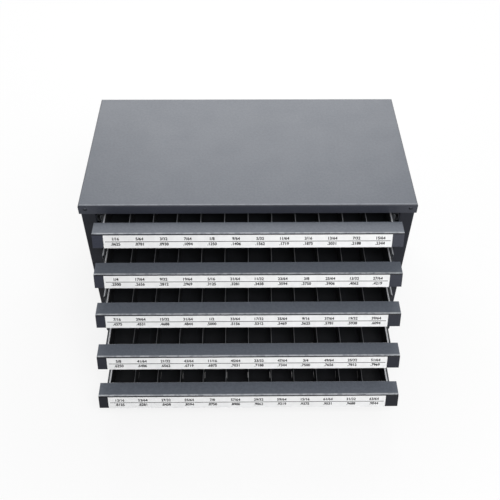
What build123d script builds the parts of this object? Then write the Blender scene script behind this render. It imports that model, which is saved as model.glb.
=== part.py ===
from build123d import *
from math import radians, tan
import os

# Steel drill bit cabinet with five shallow drawers, shown with its drawers drawn out in a cascade.
# Frame: origin at the centre of the base on the bench, +X to the right seen from the front,
# +Y to the back, +Z up. The drawers open towards -Y. Lengths are in millimetres.

# ---- Driving dimensions: case ---------------------------------------------------------------------
lid_width = 635.0          # over the lid's side lips
lid_depth = 342.0          # over the lid's front and back lips
case_height = 343.0        # bench to the lid's top
case_sheet = 1.2           # steel of the lid, sides, back and base
case_bend = 1.0            # inside radius of the case's folds
lid_lip = 20.0             # height of the lid's turned-down lips
lid_side_gap = 2.0         # lid lip to side panel, so that the lid stands proud of the sides
post_width = 28.0          # front and rear faces that the side panels turn inwards
post_return = 16.0         # flange that carries the rails, turned in from each post
base_lip = 17.0            # height of the base pan's turned-up lips
case_fit = 0.4             # gap round the pieces that nest inside the case

# ---- Driving dimensions: drawers ------------------------------------------------------------------
drawer_pitch = 63.4        # from one drawer's top to the next
first_drawer_drop = 22.4   # lid's top to the first drawer's top
drawer_travel = 250.0      # shut to the stop
opened = [0.089, 0.261, 0.439, 0.642, 0.825]   # share of its travel that each drawer stands open
drawer_sheet = 1.0         # steel of the tray, the front and the dividers
tray_depth = 44.0          # height of the tray's walls
tray_length = 326.0        # front wall to back wall, over the sheet
tray_step = 1.0            # tray's rim below the front's ledge
scoop_radius = 24.0        # rounded front of the compartments, so that a bit rolls up to the finger
tray_bend = 1.5            # inside radius of the tray's back fold
hem_width = 2.7            # folded rim along the top of each side wall
hem_height = 3.6
hem_edge = 0.8             # flat that rounds off the rim's two edges
compartment_count = 12
compartment_margin = 2.4    # tray's outside to the first compartment's share of its width
divider_sheet = 1.0
divider_drop = 2.5         # divider's top below the tray's rim
divider_fit = 0.3          # gap between a divider and the walls that it meets
divider_tab_length = 14.0  # tab that stands through a slot in the tray's bottom
divider_tab_inset = 46.0   # tab's middle from each end of the tray
divider_tab_reach = 1.2    # tab below the tray's underside

# ---- Driving dimensions: drawer front -------------------------------------------------------------
front_overhang = 18.3      # closed end of the front beyond the tray's wall
ledge_depth = 30.7         # level top of the front, from its face to the tray
face_height = 27.6
face_lean = 18.0           # degrees that the face leans back, so that its label reads from above
front_gap = 0.5            # shut front to the posts
front_bend = 2.0           # inside radius of the fold between ledge and face
lower_bend = 0.2           # inside radius of the face's lower fold
lower_return = 8.0         # flange under the face that the fingers pull on
back_flange = 14.0         # flange of the ledge against the tray
end_corner = 9.0           # rounded lower rear corner of each closed end
label_inset = 21.1         # label's end to the front's end, with the label in the middle
label_height = 26.3
label_thickness = 0.5
label_lift = 0.9           # label's lower edge above the face's lower edge
label_slip = [0.5, 2.7, 3.1, 2.7, 3.3]   # how far each label was stuck on to the left

# ---- Driving dimensions: slides -------------------------------------------------------------------
slide_sheet = 1.2          # steel of the bars, runners and rails
slide_drop = 9.0           # middle of the slides below the tray's rim
slide_play = 0.6           # height left between nested channels, above and below
slide_corner = 3.0         # slanted corners of the runners and rails
bar_corner = 1.5           # slanted corners of the bars
bar_height = 10.0          # channel on each side of the tray
bar_width = 5.8
bar_length = 306.0
bar_inset = 4.0            # bar's front end behind the tray's front wall
runner_side_gap = 5.8      # runner to rail, sideways
runner_reach = 10.2        # tray wall to the outside of the runner
runner_lap = 6.0           # width of the runner's flanges
runner_length = 300.0
runner_inset = 21.8        # shut runner's front end behind the posts' face
runner_share = 0.85        # part of the drawer's travel that the runner makes
runner_drag = [2.7, 8.5, 19.2, 1.5, 6.8]   # how far each runner was dragged on beyond its share
rail_lap = 10.0            # width of the fixed rail's flanges
rail_length = 332.0
rail_inset = 1.0           # rail's front end behind the posts' face
stop_reach = 3.2           # how far a stop tab stands out of its channel
stop_length = 3.0          # tab's length along the slide
stop_gap = 0.5             # gap between two stops when the drawer is at the end of its travel

# ---- Driving dimensions: rivets -------------------------------------------------------------------
rivet_radius = 2.0
rivet_head_radius = 3.6
rivet_crown_radius = 2.1   # flat top of the head
rivet_head_height = 1.2
rivet_fit = 0.15           # radial gap between a rivet and its hole
lid_rivet_drop = 9.0       # lid rivets below the lid's top
lid_rivet_inset = 9.5      # lid rivets in from the side panel's outside

# ---- Places worked out from the sizes above -------------------------------------------------------
side_x = lid_width / 2 - case_sheet - lid_side_gap          # outside of a side panel
post_x = side_x - post_width                                # inner edge of a post
post_y = -lid_depth / 2 + case_sheet                        # face of the posts
back_y = lid_depth / 2 - case_sheet                         # outside of the back panel
rear_y = back_y - case_sheet                                # outside of the rear posts
roof_z = case_height - case_sheet                           # underside of the lid
shut_y = post_y - front_gap                                 # tray's front wall with the drawer shut
runner_x = post_x - slide_sheet - runner_side_gap           # outside of a runner
tray_x = runner_x - runner_reach                            # outside of a tray wall
tray_width = 2 * tray_x
front_width = tray_width + 2 * front_overhang
label_width = front_width - 2 * label_inset
face_run = face_height * tan(radians(face_lean))             # face's lower edge beyond its upper one
runner_height = bar_height + 2 * (slide_sheet + slide_play)
rail_height = runner_height + 2 * (slide_sheet + slide_play)
compartment_pitch = (tray_width - 2 * compartment_margin) / compartment_count

side_view = Plane.YZ       # its first axis is the row's +Y, its second +Z, and it faces +X
end_view = Plane.XZ        # its first axis is the row's +X, its second +Z, and it faces -Y


def nearest(section, point, rank=0):
    """Corner of a flat section nearest to a point of its plane, or the next nearest for rank 1."""
    return section.vertices().sort_by_distance(Vector(*point))[rank]


def folded(corners, sheet, bends=()):
    """Section of a folded sheet: its outside runs through the corners, with the steel on its left.

    Each bend is the inside radius of one fold, in the corners' order; other folds stay sharp.
    """
    skin = Polyline(*corners)
    section = make_face(offset(skin, amount=sheet, side=Side.LEFT, kind=Kind.INTERSECTION))
    for corner, bend in zip(corners[1:-1], bends):
        if bend:
            section = fillet(nearest(section, corner, rank=1), bend)
            section = fillet(nearest(section, corner), bend + sheet)
    return section


def block(width, depth, height, x, y, z):
    """Block given by its size and the middle of its lowest face."""
    return Pos(x, y, z) * Box(width, depth, height, align=(Align.CENTER, Align.CENTER, Align.MIN))


def across(section, width):
    """Section of a side view drawn out evenly to both sides of the middle plane."""
    return extrude(side_view * section, amount=width / 2, both=True)


def mirrored(solid):
    return mirror(solid, about=Plane.YZ)


def save(name, *solids):
    shape = solids[0] if len(solids) == 1 else Compound(children=list(solids))
    export_step(shape, f"parts/{name}.step")


# ---- Case -----------------------------------------------------------------------------------------
def pan(width, depth, height):
    """Sheet pan with its floor on top and four lips turned down, standing on z = 0."""
    outside = block(width, depth, height, 0, 0, 0)
    outside = fillet(outside.faces().sort_by(Axis.Z)[-1].edges(), case_bend + case_sheet)
    hollow = block(width - 2 * case_sheet, depth - 2 * case_sheet, height - case_sheet, 0, 0, 0)
    return outside - hollow


def rivet(grip):
    """Rivet along +Z, with the seat of its head at z = 0 and its shank down through the grip."""
    head = Cone(rivet_head_radius, rivet_crown_radius, rivet_head_height,
                align=(Align.CENTER, Align.CENTER, Align.MIN))
    return head + extrude(Circle(rivet_radius), -grip)


def rivet_hole(grip):
    return extrude(Circle(rivet_radius + rivet_fit), grip + rivet_fit, both=True)


rivet_grip = 2 * case_sheet     # through the lid's front lip and a post
rivet_x = side_x - lid_rivet_inset
rivet_z = case_height - lid_rivet_drop
rivet_places = [Pos(x, -lid_depth / 2, rivet_z) * Rot(90, 0, 0) for x in (-rivet_x, rivet_x)]


def build_lid():
    lid = Pos(0, 0, case_height - lid_lip) * pan(lid_width, lid_depth, lid_lip)
    return lid - [place * rivet_hole(rivet_grip) for place in rivet_places]


def build_side_panel():
    """Right side panel: web, front and rear posts, and the flanges that carry the rails."""
    corners = [
        (post_x, post_y + post_return),
        (post_x, post_y),
        (side_x, post_y),
        (side_x, rear_y),
        (post_x, rear_y),
        (post_x, rear_y - post_return),
    ]
    panel = extrude(folded(corners, case_sheet, [case_bend] * 4), roof_z)
    # The flanges stop above the base pan, whose lips run behind the posts.
    notch_width = 2 * (case_bend + case_sheet)
    for y, inward in ((post_y, 1), (rear_y, -1)):
        middle = y + inward * (case_sheet + post_return / 2)
        panel = panel - block(notch_width, post_return, base_lip + case_fit, post_x, middle, 0)
    return panel - rivet_places[1] * rivet_hole(rivet_grip)


def build_back_panel():
    width = 2 * (side_x - case_fit)
    return block(width, case_sheet, roof_z, 0, back_y - case_sheet / 2, 0)


def build_base_panel():
    """Base pan with its lips turned up inside the posts and the side panels."""
    width = 2 * (side_x - case_sheet - case_fit)
    front = post_y + case_sheet
    back = rear_y - case_sheet
    return Pos(0, (front + back) / 2, base_lip) * Rot(180, 0, 0) * pan(width, back - front, base_lip)


# ---- Drawers --------------------------------------------------------------------------------------
def trough(front, rim, inset, top):
    """Side outline of the tray's space, drawn in by an inset and level at its top."""
    low = rim - tray_depth + inset
    near = front + inset
    far = front + tray_length - inset
    outline = Polygon((near, low), (far, low), (far, top), (near, top), align=None)
    return fillet(nearest(outline, (near, low)), scoop_radius + drawer_sheet - inset)


def rear_fold(outline, front, rim, inset):
    """The tray's outline with the fold between its bottom and its back wall."""
    heel = (front + tray_length - inset, rim - tray_depth + inset)
    return fillet(nearest(outline, heel), tray_bend + drawer_sheet - inset)


def build_tray(front, rim):
    """Tray folded from one sheet, with side walls, hemmed rims and the dividers' slots."""
    outside = rear_fold(trough(front, rim, 0, rim), front, rim, 0)
    inside = rear_fold(trough(front, rim, drawer_sheet, rim), front, rim, drawer_sheet)
    tray = across(outside, tray_width) - across(inside, tray_width - 2 * drawer_sheet)
    hem = Pos(tray_x - drawer_sheet + hem_width / 2, rim - hem_height / 2)
    hem = hem * Rectangle(hem_width, hem_height)
    hem = chamfer(hem.vertices().group_by(Axis.Y)[-1], hem_edge)
    hem = Pos(0, front + tray_length, 0) * extrude(end_view * hem, tray_length)
    tray = tray + hem + mirrored(hem)
    slot = Box(divider_sheet + 2 * divider_fit, divider_tab_length + 2 * divider_fit, 4 * drawer_sheet)
    return tray - [Pos(x, y, rim - tray_depth) * slot for x in divider_xs for y in tab_places(front)]


divider_xs = [(n - compartment_count / 2) * compartment_pitch for n in range(1, compartment_count)]


def tab_places(front):
    """Middles of a divider's two tabs along the tray."""
    return [front + divider_tab_inset, front + tray_length - divider_tab_inset]


def build_dividers(front, rim):
    """Plates between the compartments, rounded to the scoop and tabbed through the bottom."""
    inset = drawer_sheet + divider_fit
    outline = trough(front, rim, inset, rim - divider_drop)
    heel = (front + tray_length - inset, rim - tray_depth + inset)
    blade = across(chamfer(nearest(outline, heel), tray_bend), divider_sheet)
    tab_height = divider_tab_reach + inset + drawer_sheet
    low = rim - tray_depth - divider_tab_reach
    for y in tab_places(front):
        blade = blade + block(divider_sheet, divider_tab_length, tab_height, 0, y, low)
    return [Pos(x, 0, 0) * blade for x in divider_xs]


def build_front(front, ledge):
    """Folded front: ledge, leaning face, lower return, flange to the tray and closed ends."""
    face = front - ledge_depth
    toe = face - face_run
    low = ledge - face_height
    corners = [
        (front, ledge - back_flange),
        (front, ledge),
        (face, ledge),
        (toe, low),
        (toe + lower_return, low),
    ]
    sheet = across(folded(corners, drawer_sheet, [0, front_bend, lower_bend]), front_width)
    end = Polygon((toe, low), (front, low), (front, ledge), (face, ledge), align=None)
    end = fillet(nearest(end, (front, low)), end_corner)
    end = fillet(nearest(end, (toe, low)), lower_bend + drawer_sheet)
    end = fillet(nearest(end, (face, ledge)), front_bend + drawer_sheet)
    end = Pos(front_width / 2 - drawer_sheet, 0, 0) * extrude(side_view * end, drawer_sheet)
    return sheet + end + mirrored(end)


def build_label(front, ledge, slip):
    """Label strip that lies on the leaning face."""
    strip = block(label_width, label_thickness, label_height, -slip, -label_thickness / 2, label_lift)
    toe = front - ledge_depth - face_run
    return Pos(0, toe, ledge - face_height) * Rot(-face_lean, 0, 0) * strip


# ---- Slides ---------------------------------------------------------------------------------------
def channel(web, tip, height, cut, middle, front, length):
    """Right-hand slide channel: its web at x = web, its two flanges reaching to x = tip."""
    low = middle - height / 2
    high = middle + height / 2
    bent = web + cut if tip > web else web - cut
    corners = [(tip, low), (bent, low), (web, low + cut), (web, high - cut), (bent, high), (tip, high)]
    if tip > web:
        corners.reverse()
    return Pos(0, front + length, 0) * extrude(end_view * folded(corners, slide_sheet), length)


def stop(root, reach, middle, start):
    """Tab lanced out of a channel's web, from inside the web at x = root out to x = reach."""
    height = bar_height / 2
    y = start + stop_length / 2
    return block(abs(reach - root), stop_length, height, (root + reach) / 2, y, middle - height / 2)


def build_bar(front, middle):
    """Channel fixed to the tray's side wall, open outwards, with a stop at its rear end."""
    start = front + bar_inset
    bar = channel(tray_x, tray_x + bar_width, bar_height, bar_corner, middle, start, bar_length)
    reach = runner_x - slide_sheet - slide_play
    return bar + stop(tray_x + slide_sheet / 2, reach, middle, start + bar_length - stop_length)


def build_runner(front, middle):
    """Middle channel, open inwards, with a stop on each side of its web."""
    tip = runner_x - runner_lap
    runner = channel(runner_x, tip, runner_height, slide_corner, middle, front, runner_length)
    root = runner_x - slide_sheet / 2
    rear_stop = front + runner_length - stop_length
    # At the end of the drawer's travel its bar still reaches this far back into the runner.
    bar_end = shut_y + bar_inset + bar_length - drawer_travel
    runner_front = post_y + runner_inset - drawer_travel * runner_share - min(runner_drag)
    inner_stop = front + bar_end - runner_front - stop_gap - 2 * stop_length
    runner = runner + stop(root, runner_x + stop_reach, middle, rear_stop)
    return runner + stop(root, runner_x - slide_sheet - stop_reach, middle, inner_stop)


def build_rail(middle):
    """Rail fixed to the posts' flanges, open inwards, with the stop that the runner meets."""
    tip = post_x - rail_lap
    rail = channel(post_x, tip, rail_height, slide_corner, middle, post_y + rail_inset, rail_length)
    runner_front = post_y + runner_inset - drawer_travel * runner_share - max(runner_drag)
    catch = runner_front + runner_length - stop_gap - 2 * stop_length
    rail_web = post_x - slide_sheet
    reach = rail_web - (rail_web - runner_x) * 2 / 3
    return rail + stop(post_x - slide_sheet / 2, reach, middle, catch)


# ---- Write the pieces -----------------------------------------------------------------------------
os.makedirs("parts", exist_ok=True)
side_panel = build_side_panel()
save("lid", build_lid())
save("side_panel_right", side_panel)
save("side_panel_left", mirrored(side_panel))
save("back_panel", build_back_panel())
save("base_panel", build_base_panel())
save("lid_rivets", *[place * rivet(rivet_grip) for place in rivet_places])

rails = []
for number, (share, drag, slip) in enumerate(zip(opened, runner_drag, label_slip), start=1):
    pulled = share * drawer_travel
    front_y = shut_y - pulled
    ledge_z = case_height - first_drawer_drop - (number - 1) * drawer_pitch
    rim_z = ledge_z - tray_step
    slide_z = rim_z - slide_drop
    runner_y = post_y + runner_inset - runner_share * pulled - drag

    save(f"drawer_{number}_tray", build_tray(front_y, rim_z))
    save(f"drawer_{number}_dividers", *build_dividers(front_y, rim_z))
    save(f"drawer_{number}_front", build_front(front_y, ledge_z))
    save(f"drawer_{number}_label", build_label(front_y, ledge_z, slip))
    bar = build_bar(front_y, slide_z)
    save(f"drawer_{number}_bar_right", bar)
    save(f"drawer_{number}_bar_left", mirrored(bar))
    runner = build_runner(runner_y, slide_z)
    save(f"runner_{number}_right", runner)
    save(f"runner_{number}_left", mirrored(runner))
    rails.append(build_rail(slide_z))

save("rails_right", *rails)
save("rails_left", *[mirrored(rail) for rail in rails])
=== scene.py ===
# %% [markdown]
# # A drill bit cabinet, dressed in Blender
#
# The CAD frame holds every panel, tray, divider and slide of a bench-top steel cabinet with five
# shallow drawers. This notebook adds what a CAD solid doesn't have: powder coat, bare worn rims, zinc
# plating, printed size strips and spot welds. Each step first says what the real thing is and how it
# could be made, and then makes it in a short cell. Lengths are in metres.

# %% Load the frame
from math import cos, radians, sin

import bpy
from mathutils import Matrix, Vector


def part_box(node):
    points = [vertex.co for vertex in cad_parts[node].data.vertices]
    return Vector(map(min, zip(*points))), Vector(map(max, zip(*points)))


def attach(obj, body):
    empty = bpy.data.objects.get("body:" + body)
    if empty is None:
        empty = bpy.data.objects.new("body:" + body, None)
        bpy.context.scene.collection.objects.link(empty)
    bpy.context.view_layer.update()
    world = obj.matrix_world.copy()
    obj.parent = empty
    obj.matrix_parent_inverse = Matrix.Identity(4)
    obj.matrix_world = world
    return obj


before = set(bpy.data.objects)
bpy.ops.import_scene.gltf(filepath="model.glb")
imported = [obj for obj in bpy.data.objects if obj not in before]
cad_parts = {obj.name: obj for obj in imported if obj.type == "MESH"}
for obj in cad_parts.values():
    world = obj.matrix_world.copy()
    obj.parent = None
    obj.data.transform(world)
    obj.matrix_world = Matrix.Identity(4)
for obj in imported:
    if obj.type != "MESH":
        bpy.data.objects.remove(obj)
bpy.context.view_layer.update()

MM = 0.001
drawer_numbers = range(1, 6)

# %% [markdown]
# ## Camera
#
# The cabinet is seen from above and in front, as a product shot is. A camera could be set by eye, but
# here its focal length, place and three angles were worked out from the long straight edges of the lid
# and the drawers. The frame is square, so a lens in millimetres follows from the focal length in pixels
# and Blender's 36 mm sensor.

# %% Camera
picture_side = 500            # pixels
focal_length = 717.6          # pixels
sensor_width = 36.0           # millimetres
camera_place = Vector((-0.0106, -1.1510, 1.2540))
pitch_down, yaw_right, roll = radians(46.45), radians(0.85), radians(0.38)


def camera_axes():
    """Right, up and backward directions of the camera, from its pitch, yaw and roll."""
    forward = Vector((sin(yaw_right) * cos(pitch_down), cos(yaw_right) * cos(pitch_down), -sin(pitch_down)))
    level = Vector((cos(yaw_right), -sin(yaw_right), 0))
    upright = level.cross(forward)
    right = cos(roll) * level + sin(roll) * upright
    up = cos(roll) * upright - sin(roll) * level
    return right, up, -forward


lens = bpy.data.cameras.new("camera")
lens.sensor_width = sensor_width
lens.lens = focal_length / picture_side * sensor_width
camera = bpy.data.objects.new("camera", lens)
camera.matrix_world = Matrix.Translation(camera_place) @ Matrix(camera_axes()).transposed().to_4x4()
bpy.context.scene.collection.objects.link(camera)
bpy.context.scene.camera = camera
print("lens", round(lens.lens, 2), "mm")

# %% [markdown]
# ## Building node trees
#
# Materials and Geometry Nodes are both node trees. One helper adds a node, sets its options and fills
# its inputs, with a plain value or with the output of an earlier node. The cells below then read like
# sentences, and the trees need no dragging of wires.


# %% Node helpers
def add(tree, kind, inputs=None, **options):
    """New node in a tree. inputs maps a socket's name or number to a value or to another output."""
    node = tree.nodes.new(kind)
    for option, value in options.items():
        setattr(node, option, value)
    for socket, value in (inputs or {}).items():
        if isinstance(value, bpy.types.NodeSocket):
            tree.links.new(value, node.inputs[socket])
        else:
            node.inputs[socket].default_value = value
    return node


def maths(tree, operation, *values):
    """Output of a Math node."""
    return add(tree, "ShaderNodeMath", dict(enumerate(values)), operation=operation).outputs[0]


def ramp(tree, value, low, high, to_low=0.0, to_high=1.0):
    """Output that goes smoothly from to_low to to_high while the value goes from low to high."""
    inputs = {"Value": value, "From Min": low, "From Max": high, "To Min": to_low, "To Max": to_high}
    return add(tree, "ShaderNodeMapRange", inputs, interpolation_type="SMOOTHSTEP").outputs["Result"]


def blend(tree, share, first, second):
    """Colour between two colours."""
    node = add(tree, "ShaderNodeMix", {"Factor": share}, data_type="RGBA")
    for socket, value in ((node.inputs[6], first), (node.inputs[7], second)):
        if isinstance(value, bpy.types.NodeSocket):
            tree.links.new(value, socket)
        else:
            socket.default_value = (*value, 1.0)
    return node.outputs[2]


def noise(tree, scale, detail=2.0, stretch=(1, 1, 1), roughness=0.5):
    """Noise from 0 to 1 on the piece's own coordinates, stretched along the axes."""
    place = add(tree, "ShaderNodeTexCoord").outputs["Object"]
    mapped = add(tree, "ShaderNodeMapping", {"Vector": place, "Scale": stretch}).outputs[0]
    inputs = {"Vector": mapped, "Scale": scale, "Detail": detail, "Roughness": roughness}
    return add(tree, "ShaderNodeTexNoise", inputs).outputs[0]


def new_material(name):
    """Empty material with its tree and its Principled shader."""
    material = bpy.data.materials.new(name)
    material.use_nodes = True
    return material, material.node_tree, material.node_tree.nodes["Principled BSDF"]


def connect(tree, source, shader, socket):
    tree.links.new(source, shader.inputs[socket])


def scaled(colour, factor):
    """A colour made darker or lighter."""
    return tuple(part * factor for part in colour)


# %% [markdown]
# ## Where a sheet is folded, and what faces up
#
# On folded sheet steel the paint is thinnest on the folds, and hands polish it there. Here the upper part
# of a fold is painted lighter, as that rubbed paint and as a painted highlight, and the lower half of a
# fold, above the label, is painted darker, as dirt and as painted shade. What faces up is painted
# lighter, as dust and as a painted sheen. Such masks could be painted by hand, but the height of a face's
# normal already tells these places apart: it is one on a level ledge, falls through the fold and is small
# on the leaning face. The masks come from the true normal, so they stay with the metal in every pose.
# Only the last strip of the ledge before its fold is as level as the rest, so its mask takes the place of
# the fold as well.


# %% Masks from the surface
def upward(tree):
    """Height of the surface's normal: 1 where the surface is level and faces up."""
    normal = add(tree, "ShaderNodeNewGeometry").outputs["True Normal"]
    return add(tree, "ShaderNodeSeparateXYZ", {0: normal}).outputs[2]


def between(tree, value, low, high, edge):
    """1 while a value is between two limits, with soft edges."""
    rising = ramp(tree, value, low - edge, low + edge)
    return maths(tree, "MULTIPLY", rising, ramp(tree, value, high + edge, high - edge))


# %% [markdown]
# ## Powder coat
#
# Lid, posts and drawer fronts are powder coated in slate grey. A single flat colour looks like plastic,
# so five things are layered: a slow cloud of lighter and darker paint, a fine speckle, the upper part of
# each fold painted lighter and smoother as rubbed paint and as a painted highlight, the lower part of each
# fold painted darker as dirt and as painted shade, and a lighter tone on what faces up, a thin film of dust
# and a painted sheen. The coat has the orange peel of melted powder, shallow waves a few millimetres
# across that also make the dust and the painted sheen uneven, and on them a grain under a millimetre
# across, too fine to see from the front and plain to see close up.


# %% Powder coat
dust_and_sheen_heights = 0.88, 0.995     # height of the normal where dust and painted sheen start, and where they are full
rub_and_highlight_heights = 0.92, 0.995    # upper part of a fold, rubbed and painted with a highlight
grime_and_shade_heights = 0.36, 0.90      # lower part of a fold, painted darker as dirt and as shade
rub_and_highlight_strip = 2.7 * MM         # how far the rubbing and the painted highlight reach back from a fold on the level sheet
strip_edge = 0.4 * MM


def powder_coat(name, fold, colour, rub_and_highlight_colour, dust_and_sheen_colour, rub_and_highlight_amount, grime_and_shade_amount, gloss_roughness, specular):
    """Painted steel: its colour, that of its folds, rubbed and painted with a highlight, and that of its
    top, dust and painted sheen. fold is the place of its front fold along y."""
    material, tree, shader = new_material(name)
    cloud = noise(tree, 5.0, detail=4.0)
    peel = noise(tree, 230.0, detail=2.0, roughness=0.6)
    speckle = noise(tree, 700.0, detail=2.0)
    height = upward(tree)
    paint = blend(tree, ramp(tree, cloud, 0.3, 0.7), scaled(colour, 0.88), scaled(colour, 1.12))
    paint = blend(tree, ramp(tree, speckle, 0.40, 0.75, 0.0, 0.25), paint, scaled(colour, 2.2))
    uneven = maths(tree, "MULTIPLY", ramp(tree, cloud, 0.3, 0.7, 0.97, 1.0),
                   ramp(tree, peel, 0.3, 0.7, 0.84, 1.0))
    # Painted sheen: what faces up is made lighter, partly as a film of dust and partly as the sheen of the
    # light from above.
    dust_and_sheen = maths(tree, "MULTIPLY", ramp(tree, height, *dust_and_sheen_heights), uneven)
    paint = blend(tree, dust_and_sheen, paint, dust_and_sheen_colour)
    # Painted highlight: the upper part of each fold, and the last strip of ledge before it, are made
    # lighter, partly as rubbed paint and partly as the highlight on the bend.
    patchy = ramp(tree, noise(tree, 110.0, detail=3.0), 0.36, 0.58, 0.5, 1.0)
    place = add(tree, "ShaderNodeTexCoord").outputs["Object"]
    from_fold = maths(tree, "SUBTRACT", add(tree, "ShaderNodeSeparateXYZ", {0: place}).outputs[1], fold)
    near_fold = ramp(tree, from_fold, rub_and_highlight_strip + strip_edge, rub_and_highlight_strip - strip_edge)
    last_strip = maths(tree, "MULTIPLY", near_fold, ramp(tree, height, 0.98, 0.995))
    on_fold = maths(tree, "MAXIMUM", between(tree, height, *rub_and_highlight_heights, 0.004), last_strip)
    rub_and_highlight = maths(tree, "MULTIPLY", on_fold, patchy)
    paint = blend(tree, maths(tree, "MULTIPLY", rub_and_highlight, rub_and_highlight_amount), paint, rub_and_highlight_colour)
    # Painted shade: the lower part of each fold is made darker, partly as dirt and partly as the shade
    # under the bend.
    grime_and_shade = maths(tree, "MULTIPLY", between(tree, height, *grime_and_shade_heights, 0.02), grime_and_shade_amount)
    paint = blend(tree, grime_and_shade, paint, scaled(colour, 0.3))
    connect(tree, paint, shader, "Base Color")
    smears = noise(tree, 22.0, detail=3.0)
    matte = ramp(tree, smears, 0.3, 0.7, gloss_roughness - 0.01, gloss_roughness + 0.02)
    connect(tree, maths(tree, "SUBTRACT", matte, maths(tree, "MULTIPLY", rub_and_highlight, 0.12)), shader, "Roughness")
    waves = add(tree, "ShaderNodeBump", {"Height": peel, "Strength": 0.30, "Distance": 0.4 * MM})
    grain = noise(tree, 620.0, detail=2.0, roughness=0.6)
    grains = add(tree, "ShaderNodeBump", {"Height": grain, "Strength": 0.28, "Distance": 0.25 * MM,
                                          "Normal": waves.outputs[0]})
    connect(tree, grains.outputs[0], shader, "Normal")
    shader.inputs["Specular IOR Level"].default_value = specular
    return material


# %% [markdown]
# ## Coats of the case and of the five fronts
#
# Every drawer stands open by its own amount, so the fold of each front is at its own place along y. An
# attribute on the mesh could mark the fold, but the CAD meshes carry none and aren't changed, so the same
# recipe is called five times with five places. The base colours and the amounts of rubbing and painted
# highlight are fitted to the photograph's tones: the fronts go from light at the top to dark at the
# bottom, and the sides are darker than the lid. These differences are painted light and shade, lit and
# shaded copies of one coat. The real cabinet may well have one coat all over, which the photograph's
# light alone makes uneven. So in other light these fronts may differ more than the real ones do.

# %% Coats of the case and of the five fronts
front_bend = 2.0 * MM
lid_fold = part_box("lid")[0].y + front_bend
case_paint = powder_coat("case_paint", lid_fold, colour=(0.028, 0.031, 0.042), rub_and_highlight_colour=(0.24, 0.25, 0.28),
                         dust_and_sheen_colour=(0.115, 0.128, 0.152), rub_and_highlight_amount=0.5, grime_and_shade_amount=0.4,
                         gloss_roughness=0.42, specular=0.27)
# Painted shade: the sides are the same coat as the lid, written darker for the shade they stand in.
shaded_side_paint = powder_coat("shaded_side_paint", lid_fold, colour=(0.011, 0.0125, 0.018), rub_and_highlight_colour=(0.20, 0.21, 0.24),
                         dust_and_sheen_colour=(0.115, 0.128, 0.152), rub_and_highlight_amount=0.6, grime_and_shade_amount=0.4,
                         gloss_roughness=0.40, specular=0.14)
front_painted_shading = 1.5, 1.25, 1.0, 0.80, 0.50      # painted light and shade, from the top drawer down, by the photograph's tones
front_rub_and_highlight = 0.60, 0.80, 0.85, 0.90, 0.95      # likewise, how far the folds are rubbed and painted with a highlight
front_paints = {}
for number, shade, rub_and_highlight_share in zip(drawer_numbers, front_painted_shading, front_rub_and_highlight):
    ledge_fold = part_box(f"drawer_{number}_label")[1].y + front_bend
    front_paints[number] = powder_coat(
        f"front_paint_{number}", ledge_fold, colour=scaled((0.018, 0.020, 0.029), shade),
        rub_and_highlight_colour=(0.48, 0.50, 0.53), dust_and_sheen_colour=(0.132, 0.148, 0.177), rub_and_highlight_amount=rub_and_highlight_share, grime_and_shade_amount=0.9,
        gloss_roughness=0.33, specular=0.16)
    print("fold of front", number, "at", round(ledge_fold / MM, 1), "mm")

# %% [markdown]
# ## Tray paint with bare rims
#
# The trays and their dividers are taken to be coated as well. In the photograph they are far darker than
# the fronts, and their top edges look bare. Their near-black colour is painted shade, the shade that fills
# each drawer's inside. The rims lie at five heights, one for each drawer, a fixed pitch apart. So the mask
# takes the height below the first rim, keeps only its remainder after whole pitches, and is 1 where that
# remainder is nearly zero.

# %% Heights of the rims, from the frame
first_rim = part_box("drawer_1_tray")[1].z
rim_pitch = first_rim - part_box("drawer_2_tray")[1].z
first_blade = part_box("drawer_1_dividers")[1].z
print("rim pitch", round(rim_pitch / MM, 2), "mm")


# %% Tray paint
def below_the_top(tree, top):
    """How far a point lies below the top edge of its own drawer's tray or dividers, in metres."""
    place = add(tree, "ShaderNodeTexCoord").outputs["Object"]
    height = add(tree, "ShaderNodeSeparateXYZ", {0: place}).outputs[2]
    lowered = maths(tree, "SUBTRACT", top + 0.5 * MM, height)
    return maths(tree, "FLOORED_MODULO", lowered, rim_pitch)


def tray_paint(name, colour, steel, top, bare_depth):
    """Grimy paint, near black as painted shade, whose top edge is scraped to bare steel down to bare_depth.
    """
    material, tree, shader = new_material(name)
    grime_and_shade = noise(tree, 28.0, detail=5.0, roughness=0.65)
    paint = blend(tree, ramp(tree, grime_and_shade, 0.3, 0.75), scaled(colour, 0.6), colour)
    scrapes = noise(tree, 260.0, detail=3.0, stretch=(1, 0.06, 1))
    paint = blend(tree, ramp(tree, scrapes, 0.62, 0.78, 0.0, 0.35), paint, scaled(colour, 3))
    ragged = maths(tree, "MULTIPLY", noise(tree, 120.0, detail=3.0, stretch=(1, 0.3, 1)), bare_depth)
    depth = maths(tree, "ADD", below_the_top(tree, top), ragged)
    bare = ramp(tree, depth, 1.15 * bare_depth + 0.5 * MM, 0.8 * bare_depth + 0.5 * MM)
    connect(tree, blend(tree, bare, paint, steel), shader, "Base Color")
    connect(tree, maths(tree, "MULTIPLY", bare, 0.75), shader, "Metallic")
    connect(tree, ramp(tree, bare, 0.0, 1.0, 0.55, 0.38), shader, "Roughness")
    bump = add(tree, "ShaderNodeBump", {"Height": grime_and_shade, "Strength": 0.2, "Distance": 0.4 * MM})
    connect(tree, bump.outputs[0], shader, "Normal")
    return material


# Painted shade: the near-black colour of the trays and dividers stands for the shade inside the drawers.
shaded_tray_paint = tray_paint("tray_paint", (0.012, 0.013, 0.016), (0.66, 0.67, 0.69), first_rim, 2.2 * MM)
shaded_divider_paint = tray_paint("divider_paint", (0.012, 0.013, 0.016), (0.34, 0.35, 0.37), first_blade, 0.9 * MM)

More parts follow.
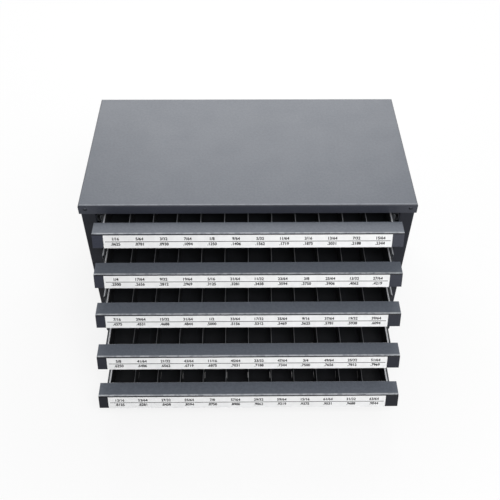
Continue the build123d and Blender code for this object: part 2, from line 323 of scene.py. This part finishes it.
# %% [markdown]
# ## Zinc plate for the slides
#
# The bars, runners and rails are plated steel. Zinc is dull, slightly cloudy and streaked along the way
# the channel slides, and its folds are painted bright, partly as rubbed zinc and partly as a painted
# highlight. The streaks are the same noise as before, squeezed along the length so that it draws out into
# lines. The rails and the rivets are written much darker than zinc is, to match the photograph's tones;
# for the rails, which sit deep inside the case, this darkness is painted shade.


# %% Zinc plate
def zinc_plate(name, dull, bright, roughness):
    """Plated steel with streaks along the slide, and corners painted bright as polish and as a painted
    highlight.
    """
    material, tree, shader = new_material(name)
    streaks = noise(tree, 420.0, detail=3.0, stretch=(1, 0.015, 1))
    cloud = noise(tree, 35.0, detail=4.0)
    mixed = maths(tree, "ADD", maths(tree, "MULTIPLY", streaks, 0.5), maths(tree, "MULTIPLY", cloud, 0.5))
    plate = blend(tree, ramp(tree, mixed, 0.35, 0.65), scaled(dull, 0.7), dull)
    # Painted highlight: the folds are made brighter, partly as rubbed zinc and partly as the highlight on
    # the bend.
    rub_and_highlight = between(tree, upward(tree), 0.5, 0.9, 0.1)
    connect(tree, blend(tree, rub_and_highlight, plate, bright), shader, "Base Color")
    connect(tree, ramp(tree, streaks, 0.3, 0.7, roughness - 0.06, roughness + 0.08), shader, "Roughness")
    shader.inputs["Metallic"].default_value = 0.85
    bump = add(tree, "ShaderNodeBump", {"Height": streaks, "Strength": 0.15, "Distance": 0.1 * MM})
    connect(tree, bump.outputs[0], shader, "Normal")
    return material


slide_zinc = zinc_plate("slide_steel", (0.10, 0.105, 0.115), (0.32, 0.33, 0.35), 0.48)
# Painted shade: the rails are written near black for the shade they lie in inside the case.
shaded_rail_zinc = zinc_plate("rail_steel", (0.030, 0.032, 0.037), (0.09, 0.095, 0.105), 0.55)
rivet_zinc = zinc_plate("rivet_steel", (0.022, 0.024, 0.030), (0.05, 0.054, 0.062), 0.55)

# %% [markdown]
# ## Label film and ink
#
# Each front carries a strip of white film with sizes printed on it. Film is smooth, faintly mottled and
# smudged grey here and there. The ink is a dark grey that dries unevenly, which keeps the figures from
# looking like holes.


# %% Label film and ink
def label_film():
    material, tree, shader = new_material("label_film")
    mottle = noise(tree, 90.0, detail=4.0)
    smudge = noise(tree, 9.0, detail=3.0, stretch=(0.5, 1, 2))
    film = blend(tree, ramp(tree, mottle, 0.3, 0.7), (0.715, 0.72, 0.725), (0.765, 0.77, 0.775))
    film = blend(tree, ramp(tree, smudge, 0.58, 0.80, 0.0, 0.25), film, (0.62, 0.62, 0.61))
    connect(tree, film, shader, "Base Color")
    connect(tree, ramp(tree, mottle, 0.3, 0.7, 0.36, 0.46), shader, "Roughness")
    bump = add(tree, "ShaderNodeBump", {"Height": mottle, "Strength": 0.1, "Distance": 0.1 * MM})
    connect(tree, bump.outputs[0], shader, "Normal")
    return material


def print_ink():
    material, tree, shader = new_material("print_ink")
    uneven = noise(tree, 1500.0, detail=2.0)
    ink = blend(tree, ramp(tree, uneven, 0.35, 0.7), (0.012, 0.012, 0.014), (0.035, 0.035, 0.038))
    connect(tree, ink, shader, "Base Color")
    connect(tree, ramp(tree, uneven, 0.3, 0.7, 0.5, 0.62), shader, "Roughness")
    return material


film, ink = label_film(), print_ink()

# %% [markdown]
# ## Give every CAD node its finish
#
# The CAD solids already have the right shape, so they stay, and only their material changes. The node
# names end in what the piece is, which makes a short table of endings enough for all of them.

# %% Finishes
finish_of = {
    "lid": case_paint,
    "panel": case_paint,
    "panel_left": shaded_side_paint,
    "panel_right": shaded_side_paint,
    "rivets": rivet_zinc,
    "rails_left": shaded_rail_zinc,
    "rails_right": shaded_rail_zinc,
    "label": film,
    "tray": shaded_tray_paint,
    "dividers": shaded_divider_paint,
}
finish_of.update({f"drawer_{number}_front": front_paints[number] for number in drawer_numbers})
for node_name, node_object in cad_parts.items():
    endings = [ending for ending in finish_of if node_name.endswith(ending)]
    finish = finish_of[max(endings, key=len)] if endings else slide_zinc
    node_object.data.materials.clear()
    node_object.data.materials.append(finish)
print("finishes", len({node.data.materials[0].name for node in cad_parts.values()}))

# %% [markdown]
# ## Turning a tree into a piece
#
# A Geometry Nodes tree needs an object to run on. This helper makes an empty mesh, hangs the tree on it,
# fills the tree's inputs by their identifiers, reads the finished mesh back and drops the modifier. What
# is left is a plain mesh at the origin, which rides on its body as any CAD node does.


# %% Tree helpers
def new_tree(name, sockets):
    """Geometry Nodes tree with named inputs, and its input and output nodes."""
    tree = bpy.data.node_groups.new(name, "GeometryNodeTree")
    for socket_name, kind, value in sockets:
        socket = tree.interface.new_socket(socket_name, in_out="INPUT", socket_type=kind)
        if value is not None:
            socket.default_value = value
    tree.interface.new_socket("Geometry", in_out="OUTPUT", socket_type="NodeSocketGeometry")
    return tree, tree.nodes.new("NodeGroupInput"), tree.nodes.new("NodeGroupOutput")


def made_by(tree, name, body, values):
    """Plain mesh piece that the tree makes from these input values, riding on a body."""
    carrier = bpy.data.objects.new(name, bpy.data.meshes.new(name))
    bpy.context.scene.collection.objects.link(carrier)
    modifier = carrier.modifiers.new("tree", "NODES")
    modifier.node_group = tree
    for socket in tree.interface.items_tree:
        if socket.in_out == "INPUT" and socket.name in values:
            modifier[socket.identifier] = values[socket.name]
    evaluated = carrier.evaluated_get(bpy.context.evaluated_depsgraph_get())
    mesh = bpy.data.meshes.new_from_object(evaluated)
    mesh.name = name
    carrier.modifiers.remove(modifier)
    carrier.data = mesh
    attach(carrier, body)
    return carrier


# %% [markdown]
# ## Printed size strips
#
# Every strip has two rows of figures, one column for each compartment: a drill size as a fraction of an
# inch, and the same size as a decimal below a thin rule. Typing 120 numbers would be slow and easy to get
# wrong, and they follow a rule, so a tree counts them. A Repeat Zone runs once for each column. It takes
# the size in 64ths, divides it and 64 by their greatest common divisor for the fraction, and cuts the
# leading zero off the decimal. The sizes run up by one 64th from compartment to compartment through the
# five drawers. Extruding the filled letters a little and closing them behind makes them solid.

# %% Sizes of the print
columns = 12
face_lean = radians(18)       # how far the faces lean back
film_thickness = 0.5 * MM
figure_height = 5.6 * MM
stroke_spread = 0.38 * MM     # how far the ring of copies widens every stroke
font_digit_share = 0.70       # height of a digit in Blender's own font, as a share of the text size
ink_thickness = 0.04 * MM
upper_row, rule_row, lower_row = 0.71, 0.50, 0.30    # shares of the label's height
rule_width, rule_end_gap = 1.35 * MM, 3.2 * MM
first_size = 4                # 64ths of an inch, in the first compartment


# %% Tree: one strip of print
def written(tree, string, size, place):
    """Filled letters of a string, centred at a place in the strip's plane."""
    curves = add(tree, "GeometryNodeStringToCurves", {"String": string, "Size": size},
                 align_x="CENTER", align_y="MIDDLE")
    coarse = add(tree, "GeometryNodeSetSplineResolution", {"Geometry": curves.outputs[0], "Resolution": 3})
    letters = add(tree, "GeometryNodeRealizeInstances", {"Geometry": coarse.outputs[0]})
    filled = add(tree, "GeometryNodeFillCurve", {"Curve": letters.outputs[0]}).outputs[0]
    ring = add(tree, "GeometryNodeMeshCircle", {"Vertices": 4, "Radius": stroke_spread}).outputs[0]
    copies = add(tree, "GeometryNodeInstanceOnPoints", {"Points": ring, "Instance": filled}).outputs[0]
    bold = add(tree, "GeometryNodeRealizeInstances", {"Geometry": copies}).outputs[0]
    return add(tree, "GeometryNodeTransform", {"Geometry": bold, "Translation": place}).outputs[0]


def whole(tree, operation, first, second):
    """Output of an Integer Math node."""
    return add(tree, "FunctionNodeIntegerMath", {0: first, 1: second}, operation=operation).outputs[0]


def joined(tree, kind, socket, parts):
    """Geometry or text joined from several outputs, in their order."""
    node = tree.nodes.new(kind)
    for part in reversed(parts):
        tree.links.new(part, node.inputs[socket])
    return node.outputs[0]


def size_texts(tree, sixty_fourths):
    """The size as a reduced fraction and as a four-place decimal with no leading zero."""
    divisor = whole(tree, "GCD", sixty_fourths, 64)
    above = add(tree, "FunctionNodeValueToString", {0: whole(tree, "DIVIDE", sixty_fourths, divisor)})
    below = add(tree, "FunctionNodeValueToString", {0: whole(tree, "DIVIDE", 64, divisor)})
    stroke = add(tree, "FunctionNodeInputString", string="/")
    parts = [above.outputs[0], stroke.outputs[0], below.outputs[0]]
    fraction = joined(tree, "GeometryNodeStringJoin", "Strings", parts)
    inches = maths(tree, "DIVIDE", sixty_fourths, 64.0)
    decimal = add(tree, "FunctionNodeValueToString", {"Value": inches, "Decimals": 4})
    short = add(tree, "FunctionNodeSliceString", {0: decimal.outputs[0], "Position": 1, "Length": 5})
    return fraction, short.outputs[0]


def place_on_strip(tree, x, height):
    return add(tree, "ShaderNodeCombineXYZ", {"X": x, "Y": height}).outputs[0]


def strip_tree():
    sockets = [
        ("First size", "NodeSocketInt", 1),
        ("Columns", "NodeSocketInt", 12),
        ("Width", "NodeSocketFloat", 0.5),
        ("Height", "NodeSocketFloat", 0.03),
        ("Corner", "NodeSocketVector", None),
        ("Turn", "NodeSocketVector", None),
        ("Text size", "NodeSocketFloat", 0.008),
        ("Ink thickness", "NodeSocketFloat", 0.0001),
        ("Ink", "NodeSocketMaterial", None),
    ]
    tree, given, result = new_tree("size_strip", sockets)
    given = given.outputs
    loop_start = add(tree, "GeometryNodeRepeatInput", {"Iterations": given["Columns"]})
    loop_end = tree.nodes.new("GeometryNodeRepeatOutput")
    loop_start.pair_with_output(loop_end)
    column = loop_start.outputs["Iteration"]
    pitch = maths(tree, "DIVIDE", given["Width"], given["Columns"])
    x = maths(tree, "MULTIPLY", maths(tree, "ADD", column, 0.5), pitch)
    rows = [maths(tree, "MULTIPLY", given["Height"], share) for share in (upper_row, rule_row, lower_row)]
    fraction, decimal = size_texts(tree, whole(tree, "ADD", given["First size"], column))
    parts = [
        loop_start.outputs["Geometry"],
        written(tree, fraction, given["Text size"], place_on_strip(tree, x, rows[0])),
        written(tree, decimal, given["Text size"], place_on_strip(tree, x, rows[2])),
    ]
    tree.links.new(joined(tree, "GeometryNodeJoinGeometry", "Geometry", parts), loop_end.inputs["Geometry"])

    rule_length = maths(tree, "SUBTRACT", given["Width"], 2 * rule_end_gap)
    grid = {"Size X": rule_length, "Size Y": rule_width, "Vertices X": 2, "Vertices Y": 2}
    rule = add(tree, "GeometryNodeMeshGrid", grid).outputs["Mesh"]
    centre = place_on_strip(tree, maths(tree, "MULTIPLY", given["Width"], 0.5), rows[1])
    rule = add(tree, "GeometryNodeTransform", {"Geometry": rule, "Translation": centre}).outputs[0]

    flat = joined(tree, "GeometryNodeJoinGeometry", "Geometry", [loop_end.outputs["Geometry"], rule])
    raised = add(tree, "GeometryNodeExtrudeMesh", {"Mesh": flat, "Offset Scale": given["Ink thickness"],
                                                   "Individual": False}).outputs["Mesh"]
    back = add(tree, "GeometryNodeFlipFaces", {"Mesh": flat}).outputs[0]
    solid = joined(tree, "GeometryNodeJoinGeometry", "Geometry", [raised, back])
    solid = add(tree, "GeometryNodeMergeByDistance", {"Geometry": solid, "Distance": 0.001 * MM}).outputs[0]
    stood = add(tree, "GeometryNodeTransform", {"Geometry": solid, "Translation": given["Corner"],
                                                "Rotation": given["Turn"]}).outputs[0]
    real = add(tree, "GeometryNodeRealizeInstances", {"Geometry": stood}).outputs[0]
    inked = add(tree, "GeometryNodeSetMaterial", {"Geometry": real, "Material": given["Ink"]}).outputs[0]
    tree.links.new(inked, result.inputs[0])
    return tree


# %% Print the five strips
size_strip = strip_tree()
for number in drawer_numbers:
    low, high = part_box(f"drawer_{number}_label")
    raised_edge = film_thickness * sin(face_lean)
    values = {
        "First size": first_size + (number - 1) * columns,
        "Columns": columns,
        "Width": high.x - low.x,
        "Height": (high.z - low.z - raised_edge) / cos(face_lean),
        "Corner": (low.x, low.y, low.z + raised_edge),
        "Turn": (radians(90) - face_lean, 0, 0),
        "Text size": figure_height / font_digit_share,
        "Ink thickness": ink_thickness,
        "Ink": ink,
    }
    strip = made_by(size_strip, f"drawer_{number}_sizes", f"drawer_{number}", values)
    print(strip.name, "faces", len(strip.data.polygons))

# %% [markdown]
# ## Spot welds
#
# Where two sheets lie face to face, such cabinets are usually spot-welded, and each electrode leaves a
# shallow round mark. The photograph hides these places, so the rows are a guess. A mark is a low disc,
# and a row of them is one Mesh Line with an instance on every point. The same tree serves the tray walls,
# over the bars outside them, and the back panel, over the rear posts: only the row's start, step, count
# and facing differ.


# %% Tree: a row of spot welds
def weld_tree():
    sockets = [
        ("Count", "NodeSocketInt", 5),
        ("Start", "NodeSocketVector", None),
        ("Step", "NodeSocketVector", None),
        ("Facing", "NodeSocketVector", None),
        ("Radius", "NodeSocketFloat", 0.0025),
        ("Height", "NodeSocketFloat", 0.0002),
        ("Finish", "NodeSocketMaterial", None),
    ]
    tree, given, result = new_tree("spot_welds", sockets)
    given = given.outputs
    row = add(tree, "GeometryNodeMeshLine", {"Count": given["Count"], "Start Location": given["Start"],
                                             "Offset": given["Step"]}).outputs[0]
    crown = maths(tree, "MULTIPLY", given["Radius"], 0.7)
    disc = add(tree, "GeometryNodeMeshCone", {"Vertices": 20, "Radius Bottom": given["Radius"],
                                              "Radius Top": crown, "Depth": given["Height"]}).outputs[0]
    turn = add(tree, "FunctionNodeAlignRotationToVector", {"Vector": given["Facing"]}, axis="Z").outputs[0]
    marks = add(tree, "GeometryNodeInstanceOnPoints", {"Points": row, "Instance": disc, "Rotation": turn})
    real = add(tree, "GeometryNodeRealizeInstances", {"Geometry": marks.outputs[0]}).outputs[0]
    finished = add(tree, "GeometryNodeSetMaterial", {"Geometry": real, "Material": given["Finish"]})
    tree.links.new(finished.outputs[0], result.inputs[0])
    return tree


# %% Weld the trays and the back
spot_welds = weld_tree()
weld_radius, weld_height = 2.6 * MM, 0.18 * MM
wall_sheet = 1.0 * MM
tray_weld_count, tray_end_gap = 6, 18 * MM
back_weld_count, back_end_gap = 5, 40 * MM


def weld_row(name, body, finish, count, start, end, facing_way):
    """Row of marks from start to end, on the face that looks along facing_way."""
    values = {
        "Count": count,
        "Start": tuple(start),
        "Step": tuple((end - start) / (count - 1)),
        "Facing": facing_way,
        "Radius": weld_radius,
        "Height": weld_height,
        "Finish": finish,
    }
    return made_by(spot_welds, name, body, values)


for number in drawer_numbers:
    for side, way in (("left", -1), ("right", 1)):
        low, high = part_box(f"drawer_{number}_bar_{side}")
        inner_x = (high.x if way < 0 else low.x) - way * wall_sheet
        middle = (low.z + high.z) / 2
        start = Vector((inner_x, low.y + tray_end_gap, middle))
        end = Vector((inner_x, high.y - tray_end_gap, middle))
        weld_row(f"drawer_{number}_welds_{side}", f"drawer_{number}", shaded_tray_paint,
                 tray_weld_count, start, end, (-way, 0, 0))

back_low, back_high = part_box("back_panel")
post_low, post_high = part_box("side_panel_right")
for side, way in (("left", -1), ("right", 1)):
    x = way * (post_low.x + post_high.x) / 2
    start = Vector((x, back_high.y, back_low.z + back_end_gap))
    end = Vector((x, back_high.y, back_high.z - back_end_gap))
    weld_row(f"back_welds_{side}", "cabinet", case_paint,
             back_weld_count, start, end, (0, 1, 0))
print("weld rows", 2 * len(drawer_numbers) + 2)

# %% [markdown]
# ## Floor, light and background
#
# The photograph is a studio shot on white. A white floor lit hard enough to look white would also wash
# the paint out, so the floor glows white only to the camera and to reflections, and is plain pale paint
# for the light that falls on it. Near the cabinet part of what the camera sees is still that paint, which
# keeps the soft shadow, and further out the glow takes over, so that no edge of the floor shows. A wide
# soft light stands behind, which gives the lid its even grey sheen, another hangs high in front for the
# ledges, and a long low one lights the faces. Their powers are fitted to the photograph's tones.


# %% Floor
floor_side = 12.0
glow_near, glow_far = 0.82, 1.0           # share of the glow beside the cabinet, and away from it
near_distance, far_distance = 0.5, 1.8


def seen_directly(tree):
    """1 for rays that come from the camera or by way of a reflection or through glass."""
    path = add(tree, "ShaderNodeLightPath").outputs
    either = maths(tree, "MAXIMUM", path["Is Camera Ray"], path["Is Glossy Ray"])
    return maths(tree, "MAXIMUM", either, path["Is Transmission Ray"])


def white_floor(size):
    """Wide plane on which the cabinet stands."""
    material, tree, shader = new_material("floor_white")
    pale = noise(tree, 3.0, detail=2.0)
    lit = blend(tree, pale, (0.40, 0.40, 0.40), (0.44, 0.44, 0.44))
    connect(tree, blend(tree, seen_directly(tree), lit, (0.90, 0.90, 0.90)), shader, "Base Color")
    shader.inputs["Roughness"].default_value = 0.9
    glow = add(tree, "ShaderNodeEmission", {"Color": (1, 1, 1, 1), "Strength": 1.0})
    place = add(tree, "ShaderNodeTexCoord").outputs["Object"]
    distance = add(tree, "ShaderNodeVectorMath", {0: place}, operation="LENGTH").outputs["Value"]
    glowing = ramp(tree, distance, near_distance, far_distance, glow_near, glow_far)
    share = maths(tree, "MULTIPLY", seen_directly(tree), glowing)
    mixed = add(tree, "ShaderNodeMixShader", {0: share, 1: shader.outputs[0], 2: glow.outputs[0]})
    tree.links.new(mixed.outputs[0], tree.nodes["Material Output"].inputs["Surface"])
    half = size / 2
    corners = [(-half, -half, 0), (half, -half, 0), (half, half, 0), (-half, half, 0)]
    mesh = bpy.data.meshes.new("floor")
    mesh.from_pydata(corners, [], [(0, 1, 2, 3)])
    mesh.materials.append(material)
    floor = bpy.data.objects.new("floor", mesh)
    bpy.context.scene.collection.objects.link(floor)


white_floor(floor_side)


# %% World and lamps
def white_world(fill):
    """World that lights with a soft grey and looks white."""
    world = bpy.data.worlds.new("studio")
    world.use_nodes = True
    bpy.context.scene.world = world
    tree = world.node_tree
    seen = ramp(tree, seen_directly(tree), 0.0, 1.0, fill, 1.0)
    tree.links.new(seen, tree.nodes["Background"].inputs["Strength"])
    tree.nodes["Background"].inputs["Color"].default_value = (1, 1, 1, 1)


def soft_lamp(name, place, target, width, depth, power):
    """Rectangular soft light that looks at a target."""
    lamp = bpy.data.lights.new(name, "AREA")
    lamp.shape = "RECTANGLE"
    lamp.size, lamp.size_y = width, depth
    lamp.energy = power
    lamp_object = bpy.data.objects.new(name, lamp)
    away = Vector(place) - Vector(target)
    lamp_object.matrix_world = Matrix.Translation(place) @ away.to_track_quat("Z", "Y").to_matrix().to_4x4()
    bpy.context.scene.collection.objects.link(lamp_object)


white_world(fill=0.22)
soft_lamp("back_light", (0.02, 1.7, 1.6), (0, -0.1, 0.3), 2.0, 1.0, 40)
soft_lamp("high_light", (0.4, -1.6, 2.1), (0, -0.2, 0.2), 1.6, 1.2, 38)
soft_lamp("low_light", (0.7, -2.1, 0.3), (0, -0.25, 0.25), 1.4, 0.3, 14)
bpy.context.scene.view_settings.view_transform = "Standard"
